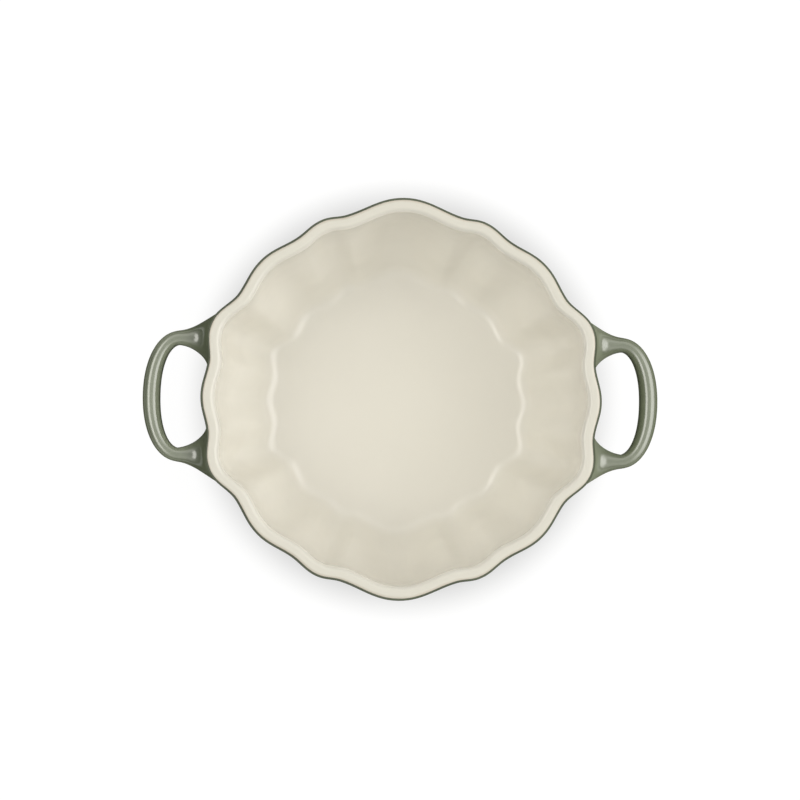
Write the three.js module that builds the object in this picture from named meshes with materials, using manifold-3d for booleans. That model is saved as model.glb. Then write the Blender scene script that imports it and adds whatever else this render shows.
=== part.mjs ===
// Mini cocotte: a small open stoneware pot with a fluted wall and two loop handles.
// Green glaze outside, cream glaze inside and over the rim, and a bare foot ring to stand on.
// Millimetres, +Z up. The origin is on the table, under the middle of the foot ring.
// The handles point along +X and -X.

import * as THREE from 'three';
import { mergeVertices } from 'three/addons/utils/BufferGeometryUtils.js';
import Module from 'manifold-3d';

const wasm = await Module();
wasm.setup();

// The pot
const HEIGHT = 56; // table to the top of the rim
const RIM_RADIUS = 55; // outside of the rim, midway between crests and grooves
const WALL = 4; // clay and lining together, the same in the wall and the floor
const LINING = 0.5; // the cream glaze alone
const RIM_ROUND = 1.5; // both edges of the rim, at most half the wall
const LINING_EDGE = 45; // degrees up the rim's outer edge where the cream glaze stops
const FLOOR_RADIUS = 34; // flat part of the floor
const FLOOR_FILLET = 5; // inside corner between floor and wall
const LEAN_AT_FLOOR = 30; // degrees from upright, where the wall leaves the fillet
const LEAN_AT_RIM = 1.5;

// The foot ring
const FOOT_INSET = 2; // from the edge of the flat underside in to the ring
const FOOT_WIDTH = 3.5;
const FOOT_HEIGHT = 2.5;
const FOOT_BEVEL = 0.6;

// The handles
const HANDLE_DROP = 13; // from the rim down to the middle of the loop
const HANDLE_REACH = 18; // from the wall out to the loop's outer face
const HANDLE_SPREAD = 33.1; // between the middles of the two arms
const HANDLE_DEPTH = 9; // of the bar, from top to bottom
const BAR_WIDTH = 5.2; // of the bar, seen from above
const ARM_WIDTH = 4.2; // of an arm, seen from above
const ARM_LENGTH = 8.2; // straight stretch of an arm, before the loop bends
const LOOP_SQUARENESS = 2.15; // 2 is an ellipse, more is squarer
const BAR_SQUARENESS = 2.4;
const ROOT_FLARE_SIDE = 11.4; // fillet where an arm runs into the wall, seen from above
const ROOT_FLARE_UPRIGHT = 7.6; // the same, over and under the arm
const ROOT_SINK = 1.2; // how far behind the wall's face the fillets would end, which leaves the root an edge
const LUTING_GAP = 0.3; // seam between an arm and the wall

// The flutes of the wall in one quarter, from the handle (0 degrees) to the front (90 degrees):
// crests and grooves by turns, each with its angle and how far it stands out from RIM_RADIUS.
const FLUTES = [
  { angle: 0, out: 1.0 },
  { angle: 9.5, out: 0 },
  { angle: 20.5, out: 2.4 },
  { angle: 32.5, out: -0.9 },
  { angle: 43.5, out: 0.1 },
  { angle: 56, out: -1.4 },
  { angle: 65, out: -0.3 },
  { angle: 72.5, out: -1.4 },
  { angle: 90, out: 1.2 },
];
const CREST_BREADTH = 1.1; // 1 is an even wave, more gives broad crests and narrow grooves

// Fineness of the facets
const STEPS_PER_FLANK = 3; // from a crest to the groove beside it
const WALL_STEPS = 4;
const FILLET_STEPS = 3;
const RIM_STEPS = 2;
const FOOT_SEGMENTS = 64;
const LOOP_STEPS = 44;
const LOOP_CROWDING = 0.8; // 0 spaces a loop's sections evenly, towards 1 they crowd at its roots
const LOOP_SAMPLES = 180; // points on the bent part of a loop's middle line
const BAR_SIDES = 22;
const REACH_PASSES = 6; // rounds of the search for the wall's face along X

const GREEN_GLAZE = { color: 0x7f8672, roughness: 0.18, metalness: 0 };
const CREAM_GLAZE = { color: 0xe2ddd1, roughness: 0.15, metalness: 0 };
const BARE_CLAY = { color: 0xcdbfa8, roughness: 0.85, metalness: 0 };

const radians = THREE.MathUtils.degToRad;

// How far the wall stands out at an angle (in radians) from the handle. The quarters mirror each other.
function flute(angle) {
  const degrees = THREE.MathUtils.radToDeg(angle);
  const quarter = Math.abs(THREE.MathUtils.euclideanModulo(degrees + 90, 180) - 90);
  const passed = FLUTES.slice(1, -1).filter((turn) => turn.angle < quarter).length;
  const [a, b] = FLUTES.slice(passed, passed + 2);
  const [crest, groove] = a.out > b.out ? [a, b] : [b, a];
  const fromCrest = (quarter - crest.angle) / (groove.angle - crest.angle);
  const fall = (1 - Math.cos(Math.PI * fromCrest)) / 2;
  return crest.out + (groove.out - crest.out) * fall ** CREST_BREADTH;
}

// Angles of the facets' edges round the pot: every crest and groove, and even steps between them.
function stations() {
  const quarter = [];
  FLUTES.slice(1).forEach((turn, i) => {
    for (let step = 0; step < STEPS_PER_FLANK; step++) {
      quarter.push(THREE.MathUtils.lerp(FLUTES[i].angle, turn.angle, step / STEPS_PER_FLANK));
    }
  });
  const half = [...quarter, 90, ...quarter.slice(1).reverse().map((angle) => 180 - angle)];
  return [...half, ...half.map((angle) => angle + 180)].map(radians);
}
const STATIONS = stations();

// The wall's inner face rises from the floor fillet to the rim, leaning less as it goes.
const LEAN_LOW = radians(LEAN_AT_FLOOR);
const LEAN_HIGH = radians(LEAN_AT_RIM);
const FLOOR_Z = FOOT_HEIGHT + WALL;
const EDGE_ROUND = Math.min(RIM_ROUND, WALL / 2);
const WALL_FOOT = new THREE.Vector2(
  FLOOR_RADIUS + FLOOR_FILLET * Math.cos(LEAN_LOW),
  FLOOR_Z + FLOOR_FILLET * (1 - Math.sin(LEAN_LOW)),
);
const WALL_HEAD = new THREE.Vector2(
  RIM_RADIUS - EDGE_ROUND - (WALL - EDGE_ROUND) * Math.cos(LEAN_HIGH),
  HEIGHT - EDGE_ROUND * (1 - Math.sin(LEAN_HIGH)),
);

// The two end tangents meet at the curve's control point.
function wallCurve() {
  const [low, high] = [Math.tan(LEAN_LOW), Math.tan(LEAN_HIGH)];
  const run = WALL_HEAD.x - WALL_FOOT.x - high * (WALL_HEAD.y - WALL_FOOT.y);
  const rise = run / (low - high);
  const control = new THREE.Vector2(WALL_FOOT.x + low * rise, WALL_FOOT.y + rise);
  return new THREE.QuadraticBezierCurve(WALL_FOOT, control, WALL_HEAD);
}
const INNER_WALL = wallCurve();

// Points of an arc in the half section, between two directions (in radians, 0 is outwards, up is positive).
function arc(centre, radius, from, to, steps) {
  return Array.from({ length: steps + 1 }, (_, i) => {
    const direction = THREE.MathUtils.lerp(from, to, i / steps);
    return new THREE.Vector2(
      centre.x + radius * Math.cos(direction),
      centre.y + radius * Math.sin(direction),
    );
  });
}

// The wall's face at a depth into the clay from its inner face, from its foot to its head.
function wallFace(depth) {
  return Array.from({ length: WALL_STEPS + 1 }, (_, i) => {
    const tangent = INNER_WALL.getTangent(i / WALL_STEPS);
    const outwards = new THREE.Vector2(tangent.y, -tangent.x);
    return INNER_WALL.getPoint(i / WALL_STEPS).addScaledVector(outwards, depth);
  });
}

// The rounded corner between floor and wall at a depth into the clay, from the floor outwards.
function floorCorner(depth) {
  const centre = new THREE.Vector2(FLOOR_RADIUS, FLOOR_Z + FLOOR_FILLET);
  return arc(centre, FLOOR_FILLET + depth, -Math.PI / 2, -LEAN_LOW, FILLET_STEPS);
}

// Middle of the rim's rounding on its inner or outer edge.
function rimCentre(depth) {
  return new THREE.Vector2(Math.cos(LEAN_HIGH), -Math.sin(LEAN_HIGH)).multiplyScalar(depth).add(WALL_HEAD);
}
const RIM_INNER = rimCentre(EDGE_ROUND);
const RIM_OUTER = rimCentre(WALL - EDGE_ROUND);
const EDGE_DIRECTION = radians(LINING_EDGE);

// What the lining covers, at a depth below its shining surface: over the rim, down the wall, to the middle of
// the floor.
function liningFace(depth) {
  const round = EDGE_ROUND - depth;
  return [
    ...arc(RIM_OUTER, round, EDGE_DIRECTION, Math.PI / 2, RIM_STEPS),
    ...arc(RIM_INNER, round, Math.PI / 2, Math.PI - LEAN_HIGH, RIM_STEPS).slice(0, -1),
    ...wallFace(depth).reverse(),
    ...floorCorner(depth).reverse().slice(1),
    new THREE.Vector2(0, FLOOR_Z - depth),
  ];
}

// The outside, from the middle of the underside up to the lining's edge on the rim, with a gap left outside it.
function outsideFace(gap) {
  return [
    new THREE.Vector2(0, FOOT_HEIGHT - gap),
    ...floorCorner(WALL + gap),
    ...wallFace(WALL + gap).slice(1, -1),
    ...arc(RIM_OUTER, EDGE_ROUND + gap, -LEAN_HIGH, EDGE_DIRECTION, RIM_STEPS),
  ];
}

// Turns a half section round the axis and lets every point off the axis follow the flutes.
function fluted(section) {
  const geometry = new THREE.LatheGeometry(section, STATIONS.length).rotateX(Math.PI / 2);
  const position = geometry.getAttribute('position');
  for (let i = 0; i < position.count; i++) {
    const { x: radius } = section[i % section.length];
    const angle = STATIONS[Math.floor(i / section.length) % STATIONS.length];
    const reach = radius > 0 ? radius + flute(angle) : 0;
    position.setXY(i, reach * Math.cos(angle), reach * Math.sin(angle));
  }
  return geometry.setIndex(facets(position, section.length));
}

// Splits the quads of a turned section along their shorter diagonals, so that two pieces that meet on a face
// have the same facets there.
function facets(position, rows) {
  const corner = (i) => new THREE.Vector3().fromBufferAttribute(position, i);
  const index = [];
  for (let a = 0; a + rows + 1 < position.count; a++) {
    if (a % rows === rows - 1) continue;
    const [b, c, d] = [a + rows, a + rows + 1, a + 1];
    const acrossAC = corner(a).distanceTo(corner(c)) < corner(b).distanceTo(corner(d));
    index.push(...(acrossAC ? [a, b, c, a, c, d] : [a, b, d, c, d, b]));
  }
  return index;
}

// A closed geometry as a solid for cutting, and back.
function solidOf(geometry) {
  const bare = geometry.clone();
  bare.deleteAttribute('normal');
  bare.deleteAttribute('uv');
  const merged = mergeVertices(bare);
  return new wasm.Manifold(
    new wasm.Mesh({
      numProp: 3,
      vertProperties: merged.getAttribute('position').array,
      triVerts: new Uint32Array(merged.index.array),
    }),
  );
}

function geometryOf(solid) {
  const mesh = solid.getMesh();
  const geometry = new THREE.BufferGeometry();
  geometry.setAttribute('position', new THREE.BufferAttribute(mesh.vertProperties, mesh.numProp));
  geometry.setIndex(new THREE.BufferAttribute(mesh.triVerts, 1));
  geometry.computeVertexNormals();
  return geometry;
}

// Bowl of fired clay, green outside, with a shallow rebate over the rim and inside that the lining fills.
function stonewareBody() {
  return fluted([...outsideFace(0), ...liningFace(LINING)]);
}

// Coat of cream glaze, fused to the clay inside the pot and over the rim.
function interiorGlaze() {
  const shining = liningFace(0);
  return fluted([...shining, ...liningFace(LINING).reverse(), shining[0]]);
}

// Bare ring that the pot stands on, with bevelled edges.
function footRing() {
  const outer = FLOOR_RADIUS - FOOT_INSET;
  const inner = outer - FOOT_WIDTH;
  const section = [
    [inner + FOOT_BEVEL, 0],
    [outer - FOOT_BEVEL, 0],
    [outer, FOOT_BEVEL],
    [outer, FOOT_HEIGHT],
    [inner, FOOT_HEIGHT],
    [inner, FOOT_BEVEL],
    [inner + FOOT_BEVEL, 0],
  ].map(([radius, z]) => new THREE.Vector2(radius, z));
  return new THREE.LatheGeometry(section, FOOT_SEGMENTS).rotateX(Math.PI / 2);
}

const HANDLE_Z = HEIGHT - HANDLE_DROP;
const ARM_Y = HANDLE_SPREAD / 2;

// How far out along X the wall's outside is, at a distance from the handle's middle and a height.
function wallReach(y, z) {
  const face = wallFace(WALL);
  const above = face.slice(1, -1).findIndex((point) => point.y >= z) + 1;
  const [low, high] = above ? [face[above - 1], face[above]] : face.slice(-2);
  const radius = THREE.MathUtils.mapLinear(z, low.y, high.y, low.x, high.x);
  let reach = radius;
  for (let pass = 0; pass < REACH_PASSES; pass++) {
    reach = Math.sqrt((radius + flute(Math.atan2(y, reach))) ** 2 - y ** 2);
  }
  return reach;
}
const ARM_FOOT = wallReach(ARM_Y, HANDLE_Z);

// Superellipse coordinate: the sign of a share from -1 to 1 kept, its size raised.
function rounded(share, squareness) {
  return Math.sign(share) * Math.abs(share) ** (2 / squareness);
}

// What a fillet of this radius adds to a half width, at a distance from the wall. Behind the wall's face it
// stays as it is at the face.
function flare(distance, radius) {
  const left = Math.max(radius - ROOT_SINK - Math.max(distance, 0), 0);
  return radius - Math.sqrt(radius ** 2 - left ** 2);
}

// The loop's middle line seen from above: out of the wall along one arm, round the bar, back along the other.
function loopPath() {
  const start = ARM_FOOT + ARM_LENGTH;
  const reach = wallReach(0, HANDLE_Z) + HANDLE_REACH - BAR_WIDTH / 2 - start;
  const loop = Array.from({ length: LOOP_SAMPLES + 1 }, (_, i) => {
    const turn = Math.PI * (0.5 - i / LOOP_SAMPLES);
    return new THREE.Vector2(
      start + reach * rounded(Math.cos(turn), LOOP_SQUARENESS),
      ARM_Y * rounded(Math.sin(turn), LOOP_SQUARENESS),
    );
  });
  const inClay = ARM_FOOT - WALL / 2;
  const path = new THREE.CurvePath();
  path.add(new THREE.LineCurve(new THREE.Vector2(inClay, ARM_Y), loop[0]));
  path.add(new THREE.SplineCurve(loop));
  path.add(new THREE.LineCurve(loop.at(-1), new THREE.Vector2(inClay, -ARM_Y)));
  return path;
}

// Oval section of the loop at a share of its path. Near the wall it swells, and bends to follow the flutes.
function loopSection(path, share) {
  const middle = path.getPointAt(share);
  const ahead = path.getTangentAt(share);
  const fromWall = middle.x - ARM_FOOT;
  const barShare = 1 - (middle.y / ARM_Y) ** 2;
  const width = THREE.MathUtils.lerp(ARM_WIDTH, BAR_WIDTH, barShare);
  const halfWidth = width / 2 + flare(fromWall, ROOT_FLARE_SIDE);
  const halfDepth = HANDLE_DEPTH / 2 + flare(fromWall, ROOT_FLARE_UPRIGHT);
  const following = 1 - THREE.MathUtils.smoothstep(fromWall, 0, ROOT_FLARE_SIDE - ROOT_SINK);
  return Array.from({ length: BAR_SIDES }, (_, i) => {
    const turn = (2 * Math.PI * i) / BAR_SIDES;
    const across = halfWidth * rounded(Math.cos(turn), BAR_SQUARENESS);
    const y = middle.y + ahead.x * across;
    const z = HANDLE_Z + halfDepth * rounded(Math.sin(turn), BAR_SQUARENESS);
    const x = middle.x - ahead.y * across + following * (wallReach(y, z) - ARM_FOOT);
    return new THREE.Vector3(x, y, z);
  });
}

// Closed skin over a row of sections with the same number of points, with a flat cap on each end.
function loft(sections) {
  const sides = sections[0].length;
  const faces = [];
  for (let ring = 0; ring + 1 < sections.length; ring++) {
    for (let i = 0; i < sides; i++) {
      const [a, b] = [ring * sides + i, ring * sides + ((i + 1) % sides)];
      faces.push(a, b, b + sides, a, b + sides, a + sides);
    }
  }
  const last = (sections.length - 1) * sides;
  for (let i = 1; i + 1 < sides; i++) {
    faces.push(0, i + 1, i, last, last + i, last + i + 1);
  }
  return new THREE.BufferGeometry().setFromPoints(sections.flat()).setIndex(faces);
}

// Loop handle on the +X side. Its arms flare into the wall and end at a thin seam that follows the flutes.
function loopHandle() {
  const path = loopPath();
  const sections = Array.from({ length: LOOP_STEPS + 1 }, (_, i) => {
    const even = i / LOOP_STEPS;
    const crowded = even - (LOOP_CROWDING * Math.sin(2 * Math.PI * even)) / (2 * Math.PI);
    return loopSection(path, crowded);
  });
  const wall = fluted([...outsideFace(LUTING_GAP), new THREE.Vector2(0, HEIGHT)]);
  return geometryOf(solidOf(loft(sections)).subtract(solidOf(wall)));
}

function piece(name, geometry, finish) {
  const mesh = new THREE.Mesh(geometry, new THREE.MeshStandardMaterial(finish));
  mesh.name = name;
  return mesh;
}

const handles = new THREE.Group();
const loop = loopHandle();
const right = piece('handle_right', loop, GREEN_GLAZE);
const left = piece('handle_left', loop, GREEN_GLAZE);
left.rotation.z = Math.PI;
handles.add(right, left);

const cocotte = new THREE.Group();
cocotte.add(
  piece('stoneware_body', stonewareBody(), GREEN_GLAZE),
  piece('interior_glaze', interiorGlaze(), CREAM_GLAZE),
  piece('foot_ring', footRing(), BARE_CLAY),
  handles,
);

export default cocotte;
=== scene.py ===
"""Mini cocotte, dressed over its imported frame: fluted stoneware, green outside and cream inside.

Metres, +Z up. The origin is on the table, under the middle of the foot ring, and the handles point along X.
"""

import math

import bpy
import numpy as np
from mathutils import Matrix, Vector


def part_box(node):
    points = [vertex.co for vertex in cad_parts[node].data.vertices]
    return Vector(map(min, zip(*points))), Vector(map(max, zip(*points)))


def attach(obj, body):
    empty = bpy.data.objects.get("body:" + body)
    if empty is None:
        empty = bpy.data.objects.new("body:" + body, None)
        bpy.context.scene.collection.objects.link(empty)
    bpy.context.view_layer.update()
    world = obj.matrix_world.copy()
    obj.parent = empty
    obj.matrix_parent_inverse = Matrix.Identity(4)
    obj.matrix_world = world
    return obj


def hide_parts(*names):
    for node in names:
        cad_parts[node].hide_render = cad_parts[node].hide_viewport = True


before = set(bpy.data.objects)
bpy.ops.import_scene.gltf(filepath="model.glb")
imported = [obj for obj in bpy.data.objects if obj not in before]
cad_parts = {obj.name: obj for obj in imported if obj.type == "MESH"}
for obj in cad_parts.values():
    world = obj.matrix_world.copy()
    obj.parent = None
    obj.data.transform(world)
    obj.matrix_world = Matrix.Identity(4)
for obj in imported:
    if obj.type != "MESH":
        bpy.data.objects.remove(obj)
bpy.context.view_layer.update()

MM = 0.001

# The pot
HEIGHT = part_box("interior_glaze")[1].z
RIM_RADIUS = 55 * MM  # outside of the rim, midway between crests and grooves
WALL = 4 * MM  # clay and lining together, in the wall and the floor
LINING = 0.5 * MM  # the cream glaze alone
RIM_ROUND = 1.5 * MM  # both edges of the rim
LINING_EDGE = math.radians(54)  # how far up the rim's outer edge the cream glaze stops
LINING_STEP = 0.1 * MM  # how far the cream glaze stands over the green beside it
FLOOR_RADIUS = 34.3 * MM  # flat part of the floor
FLOOR_FILLET = 5.5 * MM  # inside corner between floor and wall
LEAN_LOW = math.radians(34)  # of the wall, where it leaves the fillet
LEAN_HIGH = math.radians(1.5)  # and at the rim

# Crests and grooves of a quarter, from the handle to the front: degrees, and how far out the wall stands
FLUTES = np.array(
    [
        (0, 1.0 * MM),
        (9.5, 0.0),
        (20.5, 2.4 * MM),
        (32.5, -0.9 * MM),
        (43.5, 0.1 * MM),
        (56, -1.4 * MM),
        (65, -0.3 * MM),
        (72.5, -1.4 * MM),
        (90, 1.2 * MM),
    ]
)
CREST_BREADTH = 1.1  # 1 is an even wave, more gives broad crests and narrow grooves
FOLD_DEEPER = 0.7  # by this share of their depth the flutes are deeper on the inside, half way up
FOLD_LOW = (9 * MM, 19 * MM)  # heights between which the deeper folds begin
FOLD_HIGH = (24 * MM, 54 * MM)  # and end
UNEVEN = 0.06 * MM  # the most that hand finishing takes off the wall
# Each of its waves has a count round the pot, a start, and a twist per metre of height
UNEVEN_WAVES = ((3, 1.1, 60), (5, -0.6, -95), (8, 2.3, 140))

# The foot ring
FOOT_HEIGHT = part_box("foot_ring")[1].z
FOOT_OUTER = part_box("foot_ring")[1].x
FOOT_WIDTH = 3.5 * MM
FOOT_ROUND = 0.7 * MM

# The handles
HANDLE_DROP = 13 * MM  # from the rim down to the handle's mid height
HANDLE_REACH = 17.25 * MM  # from the wall out to the loop's outer face
HANDLE_SPREAD = 32.9 * MM  # between the middles of the two arms
HANDLE_DEPTH = 9 * MM  # of the bar, from top to bottom
BAR_WIDTH = 4.8 * MM  # of the bar, seen from above
ARM_WIDTH = 3.85 * MM  # of an arm, seen from above
ARM_LENGTH = 8.2 * MM  # straight stretch of an arm, before the loop bends
LOOP_SQUARENESS = 2.15  # 2 is an ellipse, more is squarer
ROOT_SQUARENESS = 2.2
FLARE_SIDE = 9.9 * MM  # fillet where an arm runs into the wall, seen from above
FLARE_UPRIGHT = 4.8 * MM  # the same, over and under the arm
ROOT_SECTION = (FLARE_UPRIGHT / 2, FLARE_SIDE)  # from the wall, where a root becomes an arm in section
ROOT_DEPTH = 0.4 * MM  # how far the root goes on behind the wall's face
HALF_TURN = (-1, -1, 1)  # takes a point of one handle to the other

# Fineness of the meshes
STEPS_PER_FLANK = 12
WALL_STEPS = 40
HIDDEN_STEPS = 16
CORNER_STEPS = 14
RIM_STEPS = 12
BEAD_STEPS = 5
FLOOR_RINGS = 8
FOOT_COLUMNS = 192
FOOT_STEPS = 8  # on each side and each round edge of the foot's section
ROOT_RINGS = 26
LOOP_RINGS = 96
BAR_SIDES = 56
SHARP_EDGE = math.radians(42)
ON_AXIS = 1e-9  # a smaller radius counts as none

# Fineness of what the meshes are worked out from
REACH_CORNER_STEPS = 40
REACH_WALL_STEPS = 300
REACH_PASSES = 8  # rounds of the search for the wall's face along X
LOOP_SAMPLES = 4001
ARM_SAMPLES = 400
LOOK_AHEAD = 0.3 * MM  # along the loop, either way, to find its direction

# Where the cream is painted darker as shade, on the floor's middle and on the rim, and where its glaze
# thins out
FLOOR_SHADE_SHIFT = 6 * MM  # of the painted shade on the floor, to the right
FLOOR_SHADE_SPREAD = (8 * MM, 36 * MM)  # from the middle of the painted shade, where it begins to fade and where it ends
RIM_SHADE_BAND = (0.7 * MM, 0.1 * MM)  # under the rim's top, where the rim's painted shade begins and is full
RIM_TOP = (RIM_ROUND, 0.3 * MM)  # the same, for the part of the rim that thins out
RIM_THIN = (0.2, 0.75)  # and outwards from the rim's crown, as shares of half the wall

# Where the green glaze pools on the body, and where a dark line of shade is painted under the rim
GROOVE_POOLING = 0.6
FOOT_POOLING = 0.6
FOOT_POOL_TOP = 14 * MM  # height at which the glaze that ran down to the foot ends
RIM_LINE_SHADE = 0.7
RIM_LINE_SHADE_BAND = (2.2 * MM, 1.0 * MM)  # under the rim's top, where the painted shade of the dark line begins and where it is full

# Where shade and highlights are painted on a handle's green glaze. Across the bar, -1 is its inner side and
# 1 its outer side
ROOT_PAINT_END = 0.9 * FLARE_SIDE  # from the wall, where the root's painted shade and highlight end
ROOT_EDGE = (0.05 * MM, 1.0 * MM)  # from the wall, where the handle's glaze runs into the wall's
SHOULDER_AWAY = (3 * MM, 8 * MM)  # from the wall, where the loop's shoulders begin
SHOULDER_OUT = (0.55, 0.95)  # and how far from the loop's middle, as shares of the arms' distance
INNER_BAND = ((-1, -0.85), (-0.45, -0.3))  # across the bar, where its inner edge begins and ends
CROWN_BAND = ((-0.45, -0.2), (0.35, 0.55))  # and its crown
OUTER_SIDE = (0.45, 0.65)  # where its outer side begins
UPRIGHT_SIDES = (0.86, 0.97)  # where its upright sides begin, either way
# Painted shade on the right handle: darker upright sides. Then painted highlights: paler shoulders, roots
# and crown
RIGHT_PAINTED_SHADE = {"sides": 0.6}
RIGHT_PAINTED_HIGHLIGHT = {"shoulder": 0.2, "root": 0.9, "crown": 0.35}
# Painted shade on the left handle: darker root, outer side and upright sides. Then painted highlights:
# paler shoulders, inner edge and crown
LEFT_PAINTED_SHADE = {"root": 0.8, "outer": 0.5, "sides": 0.4}
LEFT_PAINTED_HIGHLIGHT = {"shoulder": 0.4, "inner": 0.7, "crown": 0.55}

# Finishes, as linear colours
CREAM = (0.83, 0.806, 0.732)
# the darker cream serves the clouds and the painted shade on the floor; the next one is painted shade on
# the rim
CREAM_DEEPER = (0.784, 0.76, 0.682)
CREAM_RIM_SHADE = (0.708, 0.686, 0.6)
CREAM_THIN = (0.52, 0.45, 0.34)
CREAM_IOR = 1.62
GREEN = (0.155, 0.176, 0.112)
GREEN_PALE = (0.182, 0.204, 0.135)
# dark green where the glaze pools, in specks, at the foot's glaze line, and for painted shade
GREEN_DARK = (0.068, 0.079, 0.05)
# pale green for painted highlights on the handles
GREEN_HIGHLIGHT = (0.29, 0.318, 0.228)
GREEN_IOR = 1.8
CLAY = (0.61, 0.52, 0.39)
CLAY_DARK = (0.4, 0.31, 0.2)
CLAY_IOR = 1.5
CLAY_BARE = 0.7 * MM  # from the wall down to where the green glaze was wiped off the foot
CLAY_WAVE = 0.45 * MM  # of that line, up and down
CLAY_SOFTNESS = 0.05 * MM  # of that line, either way

# The green's gloss by how far up the surface faces, and how it fades towards the outline
TOP_GLOSS = 0.9
TOP_FACING_UP = (0.45, 0.75)
TOP_FADE = (0.24, 0.45)
SIDE_GLOSS = 0.3
SIDE_FACING_UP = (0.1, 0.4)
SIDE_FADE = (0.35, 0.7)


def smooth_share(value, low, high):
    """0 below low, 1 above high, and a smooth step between them."""
    share = np.clip((value - low) / (high - low), 0, 1)
    return share * share * (3 - 2 * share)


def band(value, begin, end):
    """1 inside a band, with a smooth step where it begins and another where it ends."""
    return smooth_share(value, *begin) * (1 - smooth_share(value, *end))


# The fluted wall


def fall_and_flute(angle):
    """Share of the way from crest to groove at an angle, and how far out the wall stands there."""
    quarter = np.abs((np.degrees(angle) + 90) % 180 - 90)
    first = np.clip(np.searchsorted(FLUTES[:, 0], quarter, side="left") - 1, 0, len(FLUTES) - 2)
    start = FLUTES[first]
    end = FLUTES[first + 1]
    climbing = (end[..., 1] > start[..., 1])[..., None]
    crest = np.where(climbing, end, start)
    groove = np.where(climbing, start, end)
    share = (quarter - crest[..., 0]) / (groove[..., 0] - crest[..., 0])
    fall = ((1 - np.cos(np.pi * share)) / 2) ** CREST_BREADTH
    return fall, crest[..., 1] + (groove[..., 1] - crest[..., 1]) * fall


def fold_depth(z):
    """How deep the flutes are on the inside at a height, as a share of their depth on the outside."""
    return 1 + FOLD_DEEPER * band(z, FOLD_LOW, FOLD_HIGH)


def unevenness(angle, z):
    """What hand finishing takes off the wall here and there."""
    waves = sum(np.sin(count * angle + start + twist * z) for count, start, twist in UNEVEN_WAVES)
    return -UNEVEN * (waves / len(UNEVEN_WAVES) + 1) / 2


def columns():
    """Angles round the pot: every crest and groove, and even steps between them."""
    spots = np.concatenate([FLUTES[:-1, 0], 180 - FLUTES[:0:-1, 0]])
    spots = np.concatenate([spots, spots + 180, [360]])
    steps = np.arange(STEPS_PER_FLANK) / STEPS_PER_FLANK
    even = spots[:-1, None] + (spots[1:] - spots[:-1])[:, None] * steps
    return np.radians(even.ravel())


FLOOR_Z = FOOT_HEIGHT + WALL
WALL_FOOT = np.array(
    [
        FLOOR_RADIUS + FLOOR_FILLET * math.cos(LEAN_LOW),
        FLOOR_Z + FLOOR_FILLET * (1 - math.sin(LEAN_LOW)),
    ]
)
WALL_HEAD = np.array(
    [
        RIM_RADIUS - RIM_ROUND - (WALL - RIM_ROUND) * math.cos(LEAN_HIGH),
        HEIGHT - RIM_ROUND * (1 - math.sin(LEAN_HIGH)),
    ]
)


def arc(centre, radius, start, end, steps):
    """Rows of radius and height along an arc. The arc's own radius may change on the way."""
    turn = np.linspace(start, end, steps + 1)
    radii = np.broadcast_to(radius, turn.shape)[:, None]
    return centre + radii * np.stack([np.cos(turn), np.sin(turn)], axis=1)


def wall_face(depth, steps):
    """The wall at a depth behind its inner face, from its foot to its head."""
    low = math.tan(LEAN_LOW)
    high = math.tan(LEAN_HIGH)
    run = WALL_HEAD[0] - WALL_FOOT[0] - high * (WALL_HEAD[1] - WALL_FOOT[1])
    rise = run / (low - high)
    control = WALL_FOOT + np.array([low * rise, rise])
    t = np.linspace(0, 1, steps + 1)[:, None]
    points = (1 - t) ** 2 * WALL_FOOT + 2 * t * (1 - t) * control + t**2 * WALL_HEAD
    along = (1 - t) * (control - WALL_FOOT) + t * (WALL_HEAD - control)
    along /= np.linalg.norm(along, axis=1)[:, None]
    return points + depth * np.stack([along[:, 1], -along[:, 0]], axis=1)


def floor_corner(depth, steps):
    """The corner at a depth behind its inner face, from the floor to the wall's foot."""
    centre = np.array([FLOOR_RADIUS, FLOOR_Z + FLOOR_FILLET])
    return arc(centre, FLOOR_FILLET + depth, -math.pi / 2, -LEAN_LOW, steps)


def flat(z):
    """Rows across the flat floor at a height, from its middle to just before the corner."""
    radius = np.linspace(0, FLOOR_RADIUS, FLOOR_RINGS + 1)[:-1]
    return np.stack([radius, np.full(FLOOR_RINGS, z)], axis=1)


def rim_centre(depth):
    """Middle of a round edge of the rim, at a depth behind the wall's head."""
    return WALL_HEAD + depth * np.array([math.cos(LEAN_HIGH), -math.sin(LEAN_HIGH)])


RIM_INNER = rim_centre(RIM_ROUND)
RIM_OUTER = rim_centre(WALL - RIM_ROUND)


def lining_face(depth, wall_steps, corner_steps, rim_steps, edge):
    """Over the rim, down the wall and to the middle of the floor, at a depth below the shining surface."""
    over = RIM_ROUND - depth
    return np.concatenate(
        [
            arc(RIM_OUTER, over, edge, math.pi / 2, rim_steps),
            arc(RIM_INNER, over, math.pi / 2, math.pi - LEAN_HIGH, rim_steps)[:-1],
            wall_face(depth, wall_steps)[::-1],
            floor_corner(depth, corner_steps)[::-1][1:],
            flat(FLOOR_Z - depth)[::-1],
        ]
    )


def hidden_face():
    """Where the lining and the clay meet, which nobody sees."""
    return lining_face(LINING, HIDDEN_STEPS, HIDDEN_STEPS // 2, HIDDEN_STEPS // 2, LINING_EDGE)


def outside_face():
    """From the middle of the underside up to the lining's edge, where the green dips under the cream."""
    dip = LINING_STEP * smooth_share(np.linspace(0, 1, RIM_STEPS + 1), 0, 1)
    return np.concatenate(
        [
            flat(FOOT_HEIGHT),
            floor_corner(WALL, CORNER_STEPS),
            wall_face(WALL, WALL_STEPS)[1:-1],
            arc(RIM_OUTER, RIM_ROUND - dip, -LEAN_HIGH, LINING_EDGE, RIM_STEPS),
        ]
    )


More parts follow.
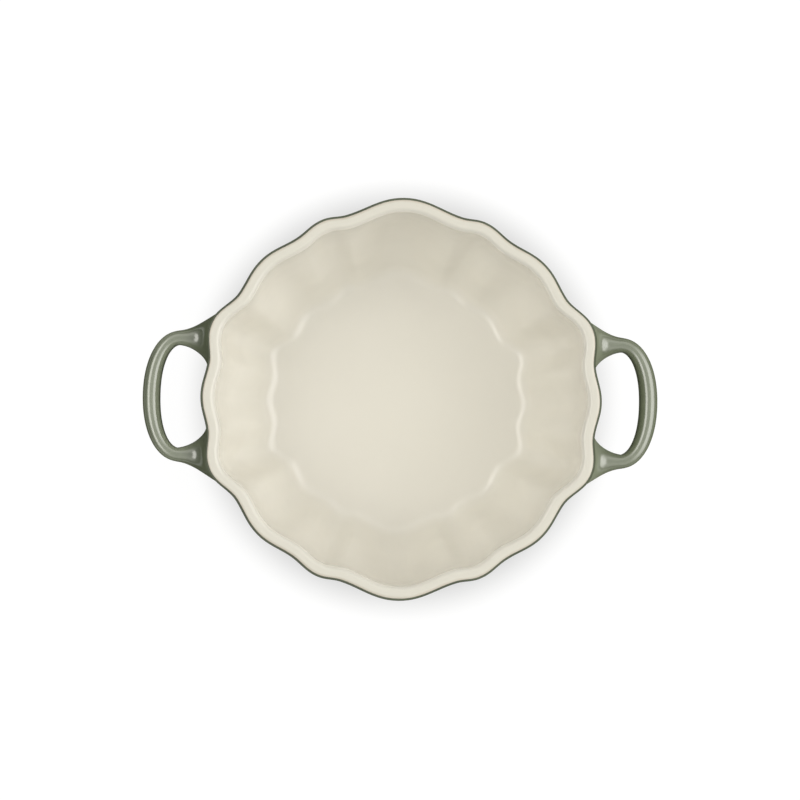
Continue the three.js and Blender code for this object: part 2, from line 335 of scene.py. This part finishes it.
def lining_bead():
    """Rounded edge of the cream glaze on the rim, from the green up to the shining surface."""
    outwards = np.array([math.cos(LINING_EDGE), math.sin(LINING_EDGE)])
    back = np.array([-math.sin(LINING_EDGE), math.cos(LINING_EDGE)])
    centre = RIM_OUTER + (RIM_ROUND - LINING_STEP) * outwards
    turn = np.linspace(0, math.pi / 2, BEAD_STEPS + 1)[:-1, None]
    return centre + LINING_STEP * (np.sin(turn) * outwards + (1 - np.cos(turn)) * back)


def turned(section, inside):
    """Points and faces of a closed half section turned round the axis, following the flutes.

    The section is a loop of rows that meets the axis. From row number inside on, its rows have the deeper
    folds of the pot's inside.
    """
    angles = columns()
    count = len(angles)
    flute = fall_and_flute(angles)[1]
    points = []
    rows = []
    for row, (radius, z) in enumerate(section):
        if radius < ON_AXIS:
            rows.append([len(points)] * count)
            points.append((0.0, 0.0, z))
            continue
        depth = min(radius / FLOOR_RADIUS, 1) * (fold_depth(z) if row >= inside else 1)
        reach = radius + flute * depth + unevenness(angles, z) * (radius / RIM_RADIUS)
        rows.append(list(range(len(points), len(points) + count)))
        points.extend(zip(reach * np.cos(angles), reach * np.sin(angles), [z] * count))
    faces = []
    for low, high in zip(rows, rows[1:] + rows[:1]):
        for i in range(count):
            j = (i + 1) % count
            corners = dict.fromkeys((low[i], low[j], high[j], high[i]))
            if len(corners) > 2:
                faces.append(tuple(corners))
    return np.array(points), faces


def fluted_body():
    """Points and faces of the green body, how far its glaze pools, and the painted shade under its rim."""
    outside = outside_face()
    points, faces = turned(np.concatenate([outside, hidden_face()]), len(outside))
    x, y, z = points.T
    groove = fall_and_flute(np.arctan2(y, x))[0] * (z > FLOOR_Z)
    run_down = 1 - smooth_share(z, FOOT_HEIGHT, FOOT_POOL_TOP)
    # painted shade: a dark line just under the rim's edge, for the outline
    under_rim_shade = smooth_share(z, HEIGHT - RIM_LINE_SHADE_BAND[0], HEIGHT - RIM_LINE_SHADE_BAND[1])
    pool_and_shade = GROOVE_POOLING * groove + FOOT_POOLING * run_down + RIM_LINE_SHADE * under_rim_shade
    return points, faces, {"pool_and_shade": np.clip(pool_and_shade, 0, 1)}


def cream_lining():
    """Points and faces of the cream lining, where it has painted shade on the floor and the rim, and where
    its glaze thins out.
    """
    bead_turn = LINING_STEP / RIM_ROUND
    shining = lining_face(0, WALL_STEPS, CORNER_STEPS, RIM_STEPS, LINING_EDGE + bead_turn)
    points, faces = turned(np.concatenate([lining_bead(), shining, hidden_face()[::-1]]), 0)
    x, y, z = points.T
    crown = (RIM_INNER[0] + RIM_OUTER[0]) / 2
    from_crown = np.hypot(x, y) - fall_and_flute(np.arctan2(y, x))[1] - crown
    on_top = smooth_share(z, HEIGHT - RIM_TOP[0], HEIGHT - RIM_TOP[1])
    fields = {
        # painted shade on the rim
        "rim": smooth_share(z, HEIGHT - RIM_SHADE_BAND[0], HEIGHT - RIM_SHADE_BAND[1]),
        "thin_and_highlight": on_top * smooth_share(from_crown / (WALL / 2), *RIM_THIN),
        # painted shade on the floor, darkest a little right of its middle
        "pool_and_shade": 1 - smooth_share(np.hypot(x - FLOOR_SHADE_SHIFT, y), *FLOOR_SHADE_SPREAD),
    }
    return points, faces, fields


# The handles

HANDLE_Z = HEIGHT - HANDLE_DROP
ARM_Y = HANDLE_SPREAD / 2
OUTER_WALL = np.concatenate(
    [
        floor_corner(WALL, REACH_CORNER_STEPS),
        wall_face(WALL, REACH_WALL_STEPS)[1:],
    ]
)


def wall_reach(y, z):
    """How far out along X the wall's outside is, at a distance from the handle's middle and a height."""
    y, z = np.broadcast_arrays(np.asarray(y, float), np.asarray(z, float))
    radius = np.interp(z, OUTER_WALL[:, 1], OUTER_WALL[:, 0])
    reach = radius
    for _ in range(REACH_PASSES):
        angle = np.arctan2(y, reach)
        full = radius + fall_and_flute(angle)[1] + unevenness(angle, z) * (radius / RIM_RADIUS)
        reach = np.sqrt(full**2 - y**2)
    return reach


ARM_FOOT = float(wall_reach(ARM_Y, HANDLE_Z))


def superellipse(share, squareness):
    """One coordinate of a superellipse, from a sine or a cosine."""
    return np.sign(share) * np.abs(share) ** (2 / squareness)


def oval(half, round_end, share, squarer):
    """One coordinate of a section: round ends with straight sides, going over to a superellipse."""
    straight = np.sign(share) * (half - round_end + round_end * np.abs(share))
    return straight + squarer * (half * superellipse(share, ROOT_SQUARENESS) - straight)


def loop_line():
    """Middle line of the right handle seen from above, and its length up to each point."""
    start = ARM_FOOT + ARM_LENGTH
    reach = float(wall_reach(0, HANDLE_Z)) + HANDLE_REACH - BAR_WIDTH / 2 - start
    turn = np.linspace(math.pi / 2, -math.pi / 2, LOOP_SAMPLES)
    bend = np.stack(
        [
            start + reach * superellipse(np.cos(turn), LOOP_SQUARENESS),
            ARM_Y * superellipse(np.sin(turn), LOOP_SQUARENESS),
        ],
        axis=1,
    )
    arm = np.linspace(ARM_FOOT - ROOT_DEPTH, start, ARM_SAMPLES)[:-1]
    arm = np.stack([arm, np.full_like(arm, ARM_Y)], axis=1)
    line = np.concatenate([arm, bend, arm[::-1] * (1, -1)])
    length = np.concatenate([[0], np.cumsum(np.linalg.norm(np.diff(line, axis=0), axis=1))])
    return line, length


def ring_places(line, length):
    """Lengths along the middle line at which the handle's rings stand, closer together at the roots."""
    half = len(line) // 2
    fillet = FLARE_SIDE * (1 - np.cos(np.linspace(0, math.pi / 2, ROOT_RINGS)))
    root = np.interp(ARM_FOOT + fillet, line[:half, 0], length[:half])
    around = np.linspace(root[-1], length[-1] - root[-1], LOOP_RINGS + 2)[1:-1]
    return np.concatenate([[0], root, around, length[-1] - root[::-1], [length[-1]]])


def flare(distance, radius):
    """What a fillet adds to a half width, at a distance from the wall."""
    left = np.clip(radius - np.maximum(distance, 0), 0, radius)
    return radius - np.sqrt(radius**2 - left**2)


def tube_faces(rings):
    """Faces of a tube of rings, with a cap on each end."""
    faces = []
    for low in range(0, (rings - 1) * BAR_SIDES, BAR_SIDES):
        high = low + BAR_SIDES
        for i in range(BAR_SIDES):
            j = (i + 1) % BAR_SIDES
            faces.append((low + i, low + j, high + j, high + i))
    faces.append(tuple(range(BAR_SIDES))[::-1])
    faces.append(tuple(range((rings - 1) * BAR_SIDES, rings * BAR_SIDES)))
    return faces


def glaze_shares(x, y, z, from_wall, sideways, turn):
    """How much each point of the handle lies where shade and highlights are painted on its glaze, and where
    its glaze runs into the wall's.

    Each ring has its distance from the wall and its place sideways, which is 0 in the loop's middle and 1
    or -1 at the arms. Each point of a ring has its turn round the bar.
    """
    away = smooth_share(from_wall, 0, ROOT_PAINT_END)
    beyond_arms = smooth_share(from_wall, *SHOULDER_AWAY)
    across = np.cos(turn)
    upper = np.sin(turn) > 0
    shares = {
        "root": 1 - away,
        "shoulder": beyond_arms * smooth_share(np.abs(sideways), *SHOULDER_OUT),
        "inner": band(across, *INNER_BAND) * upper * away,
        "outer": smooth_share(across, *OUTER_SIDE) * away,
        "crown": band(across, *CROWN_BAND) * upper * (1 - sideways**2) * away,
        "sides": smooth_share(np.abs(across), *UPRIGHT_SIDES) * away,
        "at_wall": 1 - smooth_share(x - wall_reach(y, z), *ROOT_EDGE),
        "groove": fall_and_flute(np.arctan2(y, x))[0],
    }
    return {name: np.broadcast_to(share, x.shape).ravel() for name, share in shares.items()}


def handle():
    """Points and faces of the right handle, and the shares that its glaze, with its painted shade and
    highlights, is made from.
    """
    line, length = loop_line()
    places = ring_places(line, length)

    def on_line(place):
        return np.stack([np.interp(place, length, line[:, axis]) for axis in (0, 1)], axis=1)

    middle = on_line(places)
    ahead = on_line(places + LOOK_AHEAD) - on_line(places - LOOK_AHEAD)
    ahead /= np.linalg.norm(ahead, axis=1)[:, None]
    from_wall = middle[:, :1] - ARM_FOOT
    sideways = middle[:, 1:] / ARM_Y

    width = ARM_WIDTH + (BAR_WIDTH - ARM_WIDTH) * (1 - sideways**2)
    half_width = width / 2 + flare(from_wall, FLARE_SIDE)
    half_depth = HANDLE_DEPTH / 2 + flare(from_wall, FLARE_UPRIGHT)
    round_end = np.minimum(half_width, half_depth)
    squarer = 1 - smooth_share(from_wall, *ROOT_SECTION)
    turn = (np.arange(BAR_SIDES) + 0.5) * 2 * math.pi / BAR_SIDES
    across = oval(half_width, round_end, np.cos(turn), squarer)
    y = middle[:, 1:] + ahead[:, :1] * across
    z = HANDLE_Z + oval(half_depth, round_end, np.sin(turn), squarer)
    following = 1 - smooth_share(from_wall, 0, FLARE_SIDE)
    x = middle[:, :1] - ahead[:, 1:] * across + following * (wall_reach(y, z) - ARM_FOOT)

    points = np.stack([x, y, z], axis=2).reshape(-1, 3)
    return points, tube_faces(len(places)), glaze_shares(x, y, z, from_wall, sideways, turn)


def weighted(shares, weights):
    return sum(weight * shares[name] for name, weight in weights.items())


def handle_fields(shares, shade_weights, highlight_weights):
    """Painted shade and painted highlights on a handle's glaze. Close to the wall they give way to the
    wall's own glaze.
    """
    at_wall = shares["at_wall"]
    pool_and_shade = weighted(shares, shade_weights)
    return {
        "pool_and_shade": pool_and_shade + (GROOVE_POOLING * shares["groove"] - pool_and_shade) * at_wall,
        "thin_and_highlight": weighted(shares, highlight_weights) * (1 - at_wall),
    }


# The foot ring


def foot_section():
    """Half section of the foot ring, with rounded lower edges."""
    inner = FOOT_OUTER - FOOT_WIDTH
    quarter = math.pi / 2
    inner_edge = np.array([inner + FOOT_ROUND, FOOT_ROUND])
    outer_edge = np.array([FOOT_OUTER - FOOT_ROUND, FOOT_ROUND])
    heights = np.linspace(FOOT_ROUND, FOOT_HEIGHT, FOOT_STEPS + 1)[1:]
    return np.concatenate(
        [
            arc(inner_edge, FOOT_ROUND, -2 * quarter, -quarter, FOOT_STEPS),
            arc(outer_edge, FOOT_ROUND, -quarter, 0, FOOT_STEPS),
            [(FOOT_OUTER, z) for z in heights],
            [(inner, z) for z in heights[::-1]],
        ]
    )


def foot_ring():
    """Points and faces of the foot ring."""
    section = foot_section()
    angles = np.linspace(0, 2 * math.pi, FOOT_COLUMNS + 1)[:-1]
    around = np.stack([np.cos(angles), np.sin(angles)], axis=1)
    rows = [np.column_stack([radius * around, np.full(FOOT_COLUMNS, z)]) for radius, z in section]
    faces = []
    for row in range(len(section)):
        low = row * FOOT_COLUMNS
        high = (row + 1) % len(section) * FOOT_COLUMNS
        for i in range(FOOT_COLUMNS):
            j = (i + 1) % FOOT_COLUMNS
            faces.append((low + i, low + j, high + j, high + i))
    return np.concatenate(rows), faces


# Materials


def node(tree, kind, inputs=None, **settings):
    """A new node with its settings, and its inputs linked or set."""
    made = tree.nodes.new(kind)
    for key, value in settings.items():
        setattr(made, key, value)
    for socket, value in (inputs or {}).items():
        if isinstance(value, bpy.types.NodeSocket):
            tree.links.new(value, made.inputs[socket])
        else:
            made.inputs[socket].default_value = value
    return made


def new_material(name):
    material = bpy.data.materials.new(name)
    material.use_nodes = True
    material.node_tree.nodes.clear()
    return material, material.node_tree


def noise(tree, scale, detail, roughness=0.5):
    place = node(tree, "ShaderNodeTexCoord").outputs["Object"]
    inputs = {"Vector": place, "Scale": scale, "Detail": detail, "Roughness": roughness}
    return node(tree, "ShaderNodeTexNoise", inputs).outputs["Fac"]


def stretch(tree, value, low, high, to_low=0.0, to_high=1.0):
    """A value between low and high brought to between to_low and to_high."""
    inputs = {"Value": value, "From Min": low, "From Max": high, "To Min": to_low, "To Max": to_high}
    return node(tree, "ShaderNodeMapRange", inputs).outputs["Result"]


def rising(tree, value, edge, softness):
    """A smooth step from 0 to 1, which begins and ends a softness away from an edge."""
    inputs = {"Value": value, "From Min": edge - softness, "From Max": edge + softness}
    return node(tree, "ShaderNodeMapRange", inputs, interpolation_type="SMOOTHSTEP").outputs["Result"]


def field(tree, name):
    return node(tree, "ShaderNodeAttribute", attribute_name=name).outputs["Fac"]


def maths(tree, operation, *values, **settings):
    return node(tree, "ShaderNodeMath", dict(enumerate(values)), operation=operation, **settings).outputs[0]


def times(tree, a, b):
    return maths(tree, "MULTIPLY", a, b, use_clamp=True)


def plus(tree, a, b):
    return maths(tree, "ADD", a, b, use_clamp=True)


def mixed(tree, share, a, b):
    """A colour that goes from a to b."""
    made = node(tree, "ShaderNodeMix", data_type="RGBA")
    for socket, value in ((0, share), (6, a), (7, b)):
        if isinstance(value, bpy.types.NodeSocket):
            tree.links.new(value, made.inputs[socket])
        else:
            made.inputs[socket].default_value = (*value, 1)
    return made.outputs[2]


def bumped(tree, height, distance, strength, under=None):
    inputs = {"Height": height, "Distance": distance, "Strength": strength}
    if under is not None:
        inputs["Normal"] = under
    return node(tree, "ShaderNodeBump", inputs).outputs["Normal"]


def finish_with(tree, colour, roughness, normal, ior, gloss=0.5):
    inputs = {"Base Color": colour, "Roughness": roughness, "Normal": normal, "IOR": ior}
    inputs["Specular IOR Level"] = gloss
    shader = node(tree, "ShaderNodeBsdfPrincipled", inputs)
    node(tree, "ShaderNodeOutputMaterial", {"Surface": shader.outputs["BSDF"]})


def cream_glaze():
    """Glossy cream: cloudy, with painted shade on the floor's middle and on the rim, browner at the rim's
    outer edge.
    """
    material, tree = new_material("cream_lining")
    cloud = stretch(tree, noise(tree, scale=45, detail=3), 0.35, 0.65)
    colour = mixed(tree, times(tree, cloud, 0.35), CREAM, CREAM_DEEPER)
    # painted shade on the floor's middle, then on the rim
    colour = mixed(tree, field(tree, "pool_and_shade"), colour, CREAM_DEEPER)
    colour = mixed(tree, field(tree, "rim"), colour, CREAM_RIM_SHADE)
    worn = stretch(tree, noise(tree, scale=260, detail=4, roughness=0.6), 0.3, 0.7, to_low=0.55)
    thin_and_highlight = times(tree, field(tree, "thin_and_highlight"), worn)
    colour = mixed(tree, times(tree, thin_and_highlight, 0.85), colour, CREAM_THIN)
    peel = bumped(tree, noise(tree, scale=420, detail=2), distance=0.06 * MM, strength=0.25)
    swell = noise(tree, scale=70, detail=2)
    normal = bumped(tree, swell, distance=0.3 * MM, strength=0.25, under=peel)
    roughness = stretch(tree, noise(tree, scale=90, detail=3), 0.3, 0.7, to_low=0.12, to_high=0.2)
    finish_with(tree, colour, roughness, normal, CREAM_IOR)
    return material


def green_gloss(tree):
    """Most on tops and less on upright sides."""
    facing = node(tree, "ShaderNodeLayerWeight", {"Blend": 0.5}).outputs["Facing"]
    normal = node(tree, "ShaderNodeNewGeometry").outputs["Normal"]
    up = node(tree, "ShaderNodeSeparateXYZ", {0: normal}).outputs["Z"]
    on_top = stretch(tree, up, *TOP_FACING_UP)
    on_sides = stretch(tree, up, *SIDE_FACING_UP, to_low=1, to_high=0)
    top = times(tree, on_top, stretch(tree, facing, *TOP_FADE, to_low=TOP_GLOSS, to_high=0))
    sides = times(tree, on_sides, stretch(tree, facing, *SIDE_FADE, to_low=SIDE_GLOSS, to_high=0))
    return plus(tree, top, sides)


def green_glaze():
    """Glossy grey-green: mottled and specked, dark where it pools and under painted shade, and paler under
    painted highlights.
    """
    material, tree = new_material("green_outside")
    mottle = stretch(tree, noise(tree, scale=210, detail=4, roughness=0.6), 0.36, 0.66)
    colour = mixed(tree, times(tree, mottle, 0.45), GREEN, GREEN_PALE)
    run = stretch(tree, noise(tree, scale=60, detail=3), 0.3, 0.7, to_low=0.55)
    # dark where the glaze pools in the grooves, with painted shade under the rim and on the handles
    pool_and_shade = times(tree, field(tree, "pool_and_shade"), run)
    colour = mixed(tree, times(tree, pool_and_shade, 0.75), colour, GREEN_DARK)
    # painted highlights on the handles
    colour = mixed(tree, field(tree, "thin_and_highlight"), colour, GREEN_HIGHLIGHT)
    specks = stretch(tree, noise(tree, scale=1500, detail=2), 0.7, 0.78)
    colour = mixed(tree, times(tree, specks, 0.5), colour, GREEN_DARK)
    peel = bumped(tree, noise(tree, scale=500, detail=2), distance=0.05 * MM, strength=0.25)
    swell = noise(tree, scale=90, detail=2)
    normal = bumped(tree, swell, distance=0.25 * MM, strength=0.25, under=peel)
    roughness = stretch(tree, noise(tree, scale=130, detail=3), 0.3, 0.7, to_low=0.1, to_high=0.17)
    finish_with(tree, colour, roughness, normal, GREEN_IOR, green_gloss(tree))
    return material


def bare_clay():
    """Dry buff stoneware with grog, and a wavy green line where the glaze was wiped off."""
    material, tree = new_material("dry_clay")
    grain = noise(tree, scale=1400, detail=5, roughness=0.65)
    colour = mixed(tree, stretch(tree, grain, 0.35, 0.7, to_high=0.6), CLAY, CLAY_DARK)
    grog = stretch(tree, noise(tree, scale=700, detail=1), 0.68, 0.74)
    colour = mixed(tree, times(tree, grog, 0.7), colour, CLAY_DARK)
    place = node(tree, "ShaderNodeTexCoord").outputs["Object"]
    height = node(tree, "ShaderNodeSeparateXYZ", {0: place}).outputs["Z"]
    wave = stretch(tree, noise(tree, scale=240, detail=3), 0.3, 0.7, to_low=-CLAY_WAVE, to_high=CLAY_WAVE)
    line = FOOT_HEIGHT - CLAY_BARE
    level = maths(tree, "ADD", height, wave)
    glazed = stretch(tree, level, line - CLAY_SOFTNESS, line + CLAY_SOFTNESS)
    colour = mixed(tree, glazed, colour, GREEN_DARK)
    rough = bumped(tree, grain, distance=0.15 * MM, strength=0.6)
    roughness = stretch(tree, glazed, 0, 1, to_low=0.88, to_high=0.2)
    finish_with(tree, colour, roughness, rough, CLAY_IOR)
    return material


# The pieces


def piece(name, replaced, slot, material, points, faces, fields):
    """One mesh of the pot, smooth apart from real corners, riding on the pot's body."""
    mesh = bpy.data.meshes.new(name)
    mesh.from_pydata(points.tolist(), [], faces)
    mesh.polygons.foreach_set("use_smooth", [True] * len(mesh.polygons))
    mesh.set_sharp_from_angle(angle=SHARP_EDGE)
    for key, values in fields.items():
        mesh.attributes.new(key, "FLOAT", "POINT").data.foreach_set("value", values)
    mesh.materials.append(material)
    made = bpy.data.objects.new(name, mesh)
    bpy.context.scene.collection.objects.link(made)
    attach(made, "root")
    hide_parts(replaced)


green = green_glaze()
piece("fluted_body", "stoneware_body", "green_glaze", green, *fluted_body())
piece("cream_lining", "interior_glaze", "cream_glaze", cream_glaze(), *cream_lining())
points, faces, shares = handle()
# painted shade and painted highlights for each handle
right_glaze = handle_fields(shares, RIGHT_PAINTED_SHADE, RIGHT_PAINTED_HIGHLIGHT)
piece("loop_handle_right", "handle_right", "green_glaze", green, points, faces, right_glaze)
left_glaze = handle_fields(shares, LEFT_PAINTED_SHADE, LEFT_PAINTED_HIGHLIGHT)
piece("loop_handle_left", "handle_left", "green_glaze", green, points * HALF_TURN, faces, left_glaze)
piece("bare_foot", "foot_ring", "bare_clay", bare_clay(), *foot_ring(), {})


# The floor, white to the camera and in reflections, with the pot's cast shadow on it and a shadow painted
# into its glow

FLOOR_SIZE = 6.0
FLOOR_PLACE = (1.5 * MM, 1.0 * MM, -0.05 * MM)  # low enough to keep clear of the foot's underside; its shift sideways also moves the painted shadow
FLOOR_STRETCH = 0.975  # along X, which narrows the painted shadow
FLOOR_TONE = (0.15, 0.15, 0.15)
FLOOR_BOUNCE = (0.45, 0.45, 0.45)  # its colour in the light that it throws back on the pot
FLOOR_ROUGHNESS = 0.9
FLOOR_GLOW = 0.9
SHADOW_GLOW = 0.52  # under the pot and close round it, where a shadow is painted into the glow
SHADOW_EDGE = 59.5 * MM  # from the floor's middle
SHADOW_SOFTNESS = 8.5 * MM
CORE_SHARE = 0.7  # what is left of that glow in the middle of the painted shadow
CORE_EDGE = 42 * MM
CORE_SOFTNESS = 14 * MM


def floor_material():
    material, tree = new_material("floor")
    path = node(tree, "ShaderNodeLightPath").outputs
    seen = plus(tree, path["Is Camera Ray"], path["Is Glossy Ray"])
    seen = plus(tree, seen, path["Is Transmission Ray"])
    place = node(tree, "ShaderNodeTexCoord").outputs["Object"]
    away = node(tree, "ShaderNodeVectorMath", {0: place}, operation="LENGTH").outputs["Value"]
    # a painted shadow: the glow dims under the pot and close round it, and most in the middle
    past_shadow = rising(tree, away, SHADOW_EDGE, SHADOW_SOFTNESS)
    glow = stretch(tree, past_shadow, 0, 1, to_low=SHADOW_GLOW, to_high=FLOOR_GLOW)
    past_core = rising(tree, away, CORE_EDGE, CORE_SOFTNESS)
    core = stretch(tree, past_core, 0, 1, to_low=CORE_SHARE)
    inputs = {
        "Base Color": mixed(tree, path["Is Diffuse Ray"], FLOOR_TONE, FLOOR_BOUNCE),
        "Roughness": FLOOR_ROUGHNESS,
        "Specular IOR Level": 0.0,
        "Emission Color": (1, 1, 1, 1),
        "Emission Strength": times(tree, seen, times(tree, glow, core)),
    }
    shader = node(tree, "ShaderNodeBsdfPrincipled", inputs)
    node(tree, "ShaderNodeOutputMaterial", {"Surface": shader.outputs["BSDF"]})
    return material


floor_mesh = bpy.data.meshes.new("floor")
half = FLOOR_SIZE / 2
corners = [(-half, -half, 0), (half, -half, 0), (half, half, 0), (-half, half, 0)]
floor_mesh.from_pydata(corners, [], [(0, 1, 2, 3)])
floor_mesh.materials.append(floor_material())
floor = bpy.data.objects.new("floor", floor_mesh)
bpy.context.scene.collection.objects.link(floor)
floor.location = FLOOR_PLACE
floor.scale = (FLOOR_STRETCH, 1, 1)


# Light: soft panels round the pot, seen from it as parts of the sky

WARM = (1.0, 0.98, 0.93)
MILD = (1.0, 0.988, 0.96)
PLAIN = (1.0, 1.0, 1.0)
# Each has degrees from overhead (near edge, far edge, softness), degrees of azimuth (middle, half breadth,
# softness), a level and a tint
PANELS = (
    ("dome", 0, 50, 45, 0, 200, 5, 0.5, PLAIN),
    ("right_softbox", 25, 74, 9, 0, 36, 22, 2.15, MILD),
    ("left_softbox", 22, 48, 6, 180, 44, 22, 2.35, WARM),
    ("back_fill", 30, 62, 20, 90, 45, 25, 0.72, WARM),
    ("front_fill", 30, 62, 20, 270, 45, 25, 0.46, WARM),
)
ROOM = 0.1  # what comes from all round


def panel(tree, zenith, azimuth, near, far, softness, middle, half, side_softness):
    """Share of a panel's light that comes from a direction. All angles are in radians."""
    beside = maths(tree, "WRAP", maths(tree, "SUBTRACT", azimuth, middle), math.pi, -math.pi)
    past_side = rising(tree, maths(tree, "ABSOLUTE", beside), half, side_softness)
    past_far = rising(tree, zenith, far, softness)
    share = maths(tree, "SUBTRACT", 1.0, past_side)
    share = maths(tree, "MULTIPLY", share, maths(tree, "SUBTRACT", 1.0, past_far))
    if near > 0:
        share = maths(tree, "MULTIPLY", share, rising(tree, zenith, near, softness))
    return share


def sky():
    """A world that shines with all the panels and a little from all round."""
    world = bpy.data.worlds.new("studio")
    bpy.context.scene.world = world
    world.use_nodes = True
    tree = world.node_tree
    tree.nodes.clear()
    direction = node(tree, "ShaderNodeTexCoord").outputs["Generated"]
    axes = node(tree, "ShaderNodeSeparateXYZ", {0: direction}).outputs
    zenith = maths(tree, "ARCCOSINE", axes["Z"])
    azimuth = maths(tree, "ARCTAN2", axes["Y"], axes["X"])
    light = node(tree, "ShaderNodeCombineXYZ", {"X": ROOM, "Y": ROOM, "Z": ROOM}).outputs[0]
    for _, *angles, level, tint in PANELS:
        share = panel(tree, zenith, azimuth, *map(math.radians, angles))
        full = {0: [level * part for part in tint], "Scale": share}
        glow = node(tree, "ShaderNodeVectorMath", full, operation="SCALE").outputs[0]
        light = node(tree, "ShaderNodeVectorMath", {0: light, 1: glow}, operation="ADD").outputs[0]
    background = node(tree, "ShaderNodeBackground", {"Color": light})
    node(tree, "ShaderNodeOutputWorld", {"Surface": background.outputs["Background"]})


sky()
bpy.context.scene.view_settings.view_transform = "Standard"


# Camera, straight down on the rim with a slight lean, as the photograph looks

VIEW_DISTANCE = 0.95
PHOTO_WIDTH = 222.5 * MM  # at the height of the rim
TURN = math.radians(0.95)  # of the object in the picture, clockwise
LEAN_LEFT = math.radians(1.45)
LEAN_FRONT = math.radians(1.0)
AIM_RIGHT = -0.42 * MM  # of the picture's middle from the rim's middle
AIM_UP = -0.27 * MM
SENSOR_WIDTH = 36
CLIP_START = 0.05
CLIP_END = 20

right = Vector((math.cos(TURN), math.sin(TURN), 0))
up = Vector((-math.sin(TURN), math.cos(TURN), 0))
aim = Vector((0, 0, HEIGHT)) + right * AIM_RIGHT + up * AIM_UP
stand = aim + Vector((0, 0, VIEW_DISTANCE)) - right * (VIEW_DISTANCE * math.tan(LEAN_LEFT))
stand -= up * (VIEW_DISTANCE * math.tan(LEAN_FRONT))
back = (stand - aim).normalized()
level = (right - back * right.dot(back)).normalized()
camera_data = bpy.data.cameras.new("camera")
camera_data.sensor_width = SENSOR_WIDTH
camera_data.lens = SENSOR_WIDTH * VIEW_DISTANCE / PHOTO_WIDTH
camera_data.clip_start = CLIP_START
camera_data.clip_end = CLIP_END
camera = bpy.data.objects.new("camera", camera_data)
pose = Matrix((level, back.cross(level), back)).transposed().to_4x4()
pose.translation = stand
camera.matrix_world = pose
bpy.context.scene.collection.objects.link(camera)
bpy.context.scene.camera = camera
